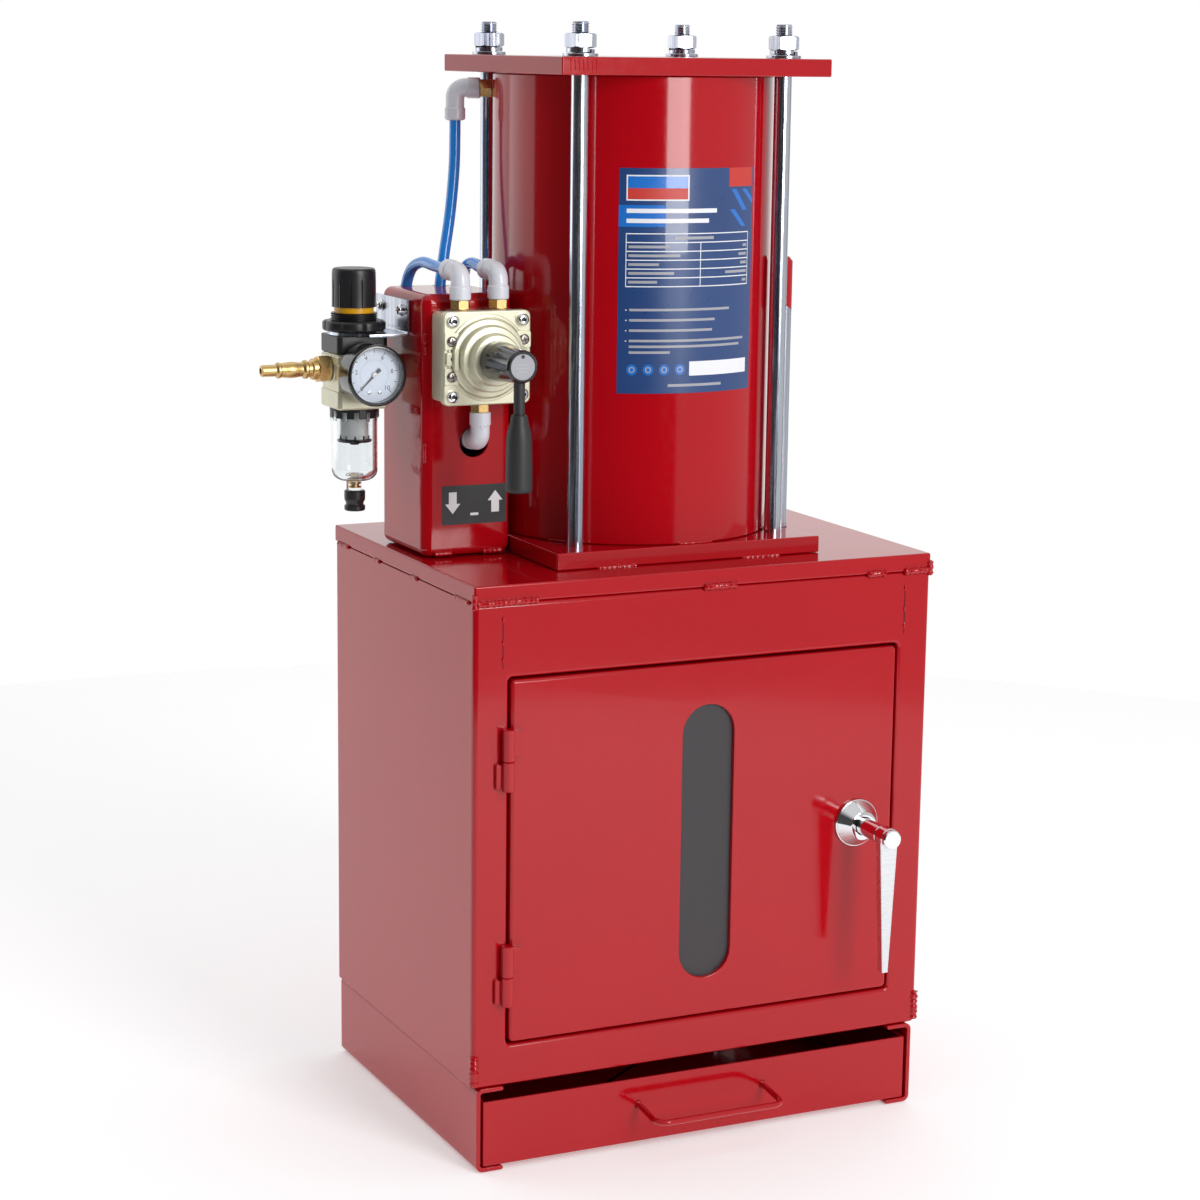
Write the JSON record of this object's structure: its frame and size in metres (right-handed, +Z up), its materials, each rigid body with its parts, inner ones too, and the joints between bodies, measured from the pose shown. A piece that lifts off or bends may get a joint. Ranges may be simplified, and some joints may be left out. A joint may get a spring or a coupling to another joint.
{
  "type": "pneumatic paint-can crusher",
  "caption": "Air-powered cabinet press: tie-rod cylinder on a steel crushing chamber with hinged door, drawer, hand valve and filter regulator.",
  "frame": {"origin": "bottom centre of the whole object's box, on the surface that the skid rails stand on", "axes": "+X to the right seen from the door side, -Y towards the user at the door, +Z up"},
  "size_m": [0.441, 0.3174, 0.773],
  "materials": {
    "red_enamel": "glossy sprayed enamel over welded steel",
    "zinc_plate": "bright zinc plating",
    "bronze": "plain machined bronze",
    "aluminium": "turned aluminium",
    "seal_rubber": "moulded seal rubber",
    "chrome": "polished chrome",
    "bare_steel": "machined bare steel",
    "champagne_casting": "die casting with a champagne metallic coat",
    "black_plastic": "moulded black plastic, satin",
    "white_plastic": "moulded white plastic",
    "blue_tube": "translucent blue polyurethane",
    "brass": "machined brass",
    "clear_bowl": "clear moulded polycarbonate",
    "filter_white": "sintered white filter plastic",
    "smoked_window": "smoked polycarbonate sheet"
  },
  "bodies": {
    "frame": {"skid_rail_left": "red_enamel", "skid_rail_right": "red_enamel", "front_frame": "red_enamel", "cabinet_wrap": "red_enamel", "chamber_floor": "red_enamel", "cabinet_top_plate": "red_enamel", "press_base_plate": "red_enamel", "cylinder_tube": "red_enamel", "press_top_plate": "red_enamel", "control_box": "red_enamel", "hinge_frame_half_lower": "red_enamel", "hinge_frame_half_upper": "red_enamel", "tie_rod_front_left": "zinc_plate", "tie_nut_front_left": "zinc_plate", "tie_rod_front_right": "zinc_plate", "tie_nut_front_right": "zinc_plate", "tie_rod_rear_left": "zinc_plate", "tie_nut_rear_left": "zinc_plate", "tie_rod_rear_right": "zinc_plate", "tie_nut_rear_right": "zinc_plate", "regulator_bracket": "zinc_plate", "rod_gland": "bronze", "valve_body": "champagne_casting", "regulator_body": "champagne_casting", "valve_elbow_left": "white_plastic", "valve_elbow_right": "white_plastic", "valve_elbow_supply": "white_plastic", "cylinder_elbow_upper": "white_plastic", "cylinder_elbow_lower": "white_plastic", "air_tube_upper": "blue_tube", "air_tube_lower": "blue_tube", "air_tube_supply": "blue_tube", "regulator_bonnet": "black_plastic", "regulator_ring_nut": "black_plastic", "gauge_case": "black_plastic", "gauge_lens": "clear_bowl", "filter_bowl": "clear_bowl", "filter_element": "filter_white", "inlet_nipple": "brass"},
    "ram": {"piston": "aluminium", "piston_seal": "seal_rubber", "piston_rod": "chrome", "platen": "bare_steel", "guide_rod": "zinc_plate"},
    "door": {"door_panel": "red_enamel", "door_window": "smoked_window", "hinge_door_half_lower": "red_enamel", "hinge_door_half_upper": "red_enamel", "handle_rosette": "chrome"},
    "door_handle": {"door_handle": "chrome", "latch_cam": "zinc_plate"},
    "valve_lever": {"valve_knob": "black_plastic", "valve_lever": "bare_steel", "valve_grip": "black_plastic"},
    "adjuster": {"adjusting_screw": "brass"},
    "pressure_knob": {"regulator_knob": "black_plastic"},
    "needle": {"gauge_needle": "black_plastic"},
    "drain": {"drain_knob": "black_plastic"},
    "drawer": {"drawer_tray": "red_enamel", "drawer_handle": "red_enamel"}
  },
  "joints": [
    {"name": "ram_stroke", "type": "slide", "parent": "frame", "child": "ram", "axis": [0, 0, -1], "range_m": [0, 0.185]},
    {"name": "door_swing", "type": "hinge", "parent": "frame", "child": "door", "pos_m": [-0.1065, -0.11075, 0.214], "axis": [0, 0, -1], "range_deg": [0, 110]},
    {"name": "door_handle_turn", "type": "hinge", "parent": "door", "child": "door_handle", "pos_m": [0.1645, -0.12375, 0.2175], "axis": [0, 1, 0], "range_deg": [0, 90]},
    {"name": "valve_lever_swing", "type": "hinge", "parent": "frame", "child": "valve_lever", "pos_m": [-0.086, -0.06375, 0.5485], "axis": [0, 1, 0], "range_deg": [-45, 45]},
    {"name": "adjuster_turn", "type": "hinge", "parent": "frame", "child": "adjuster", "pos_m": [-0.1525, 0.05525, 0.58], "axis": [0, 0, -1], "range_deg": [0, 1620]},
    {"name": "pressure_knob_lock", "type": "slide", "parent": "adjuster", "child": "pressure_knob", "axis": [0, 0, -1], "range_m": [0, 0.0034]},
    {"name": "gauge_needle_sweep", "type": "hinge", "parent": "frame", "child": "needle", "pos_m": [-0.1525, 0.01425, 0.535], "axis": [0, 1, 0], "range_deg": [0, 270], "stiffness_Nm_per_rad": 0.00002},
    {"name": "drain_turn", "type": "hinge", "parent": "frame", "child": "drain", "pos_m": [-0.1525, 0.05525, 0.443], "axis": [0, 0, 1], "range_deg": [0, 90]},
    {"name": "drawer_slide", "type": "slide", "parent": "frame", "child": "drawer", "axis": [0, -1, 0], "range_m": [0, 0.22]}
  ]
}
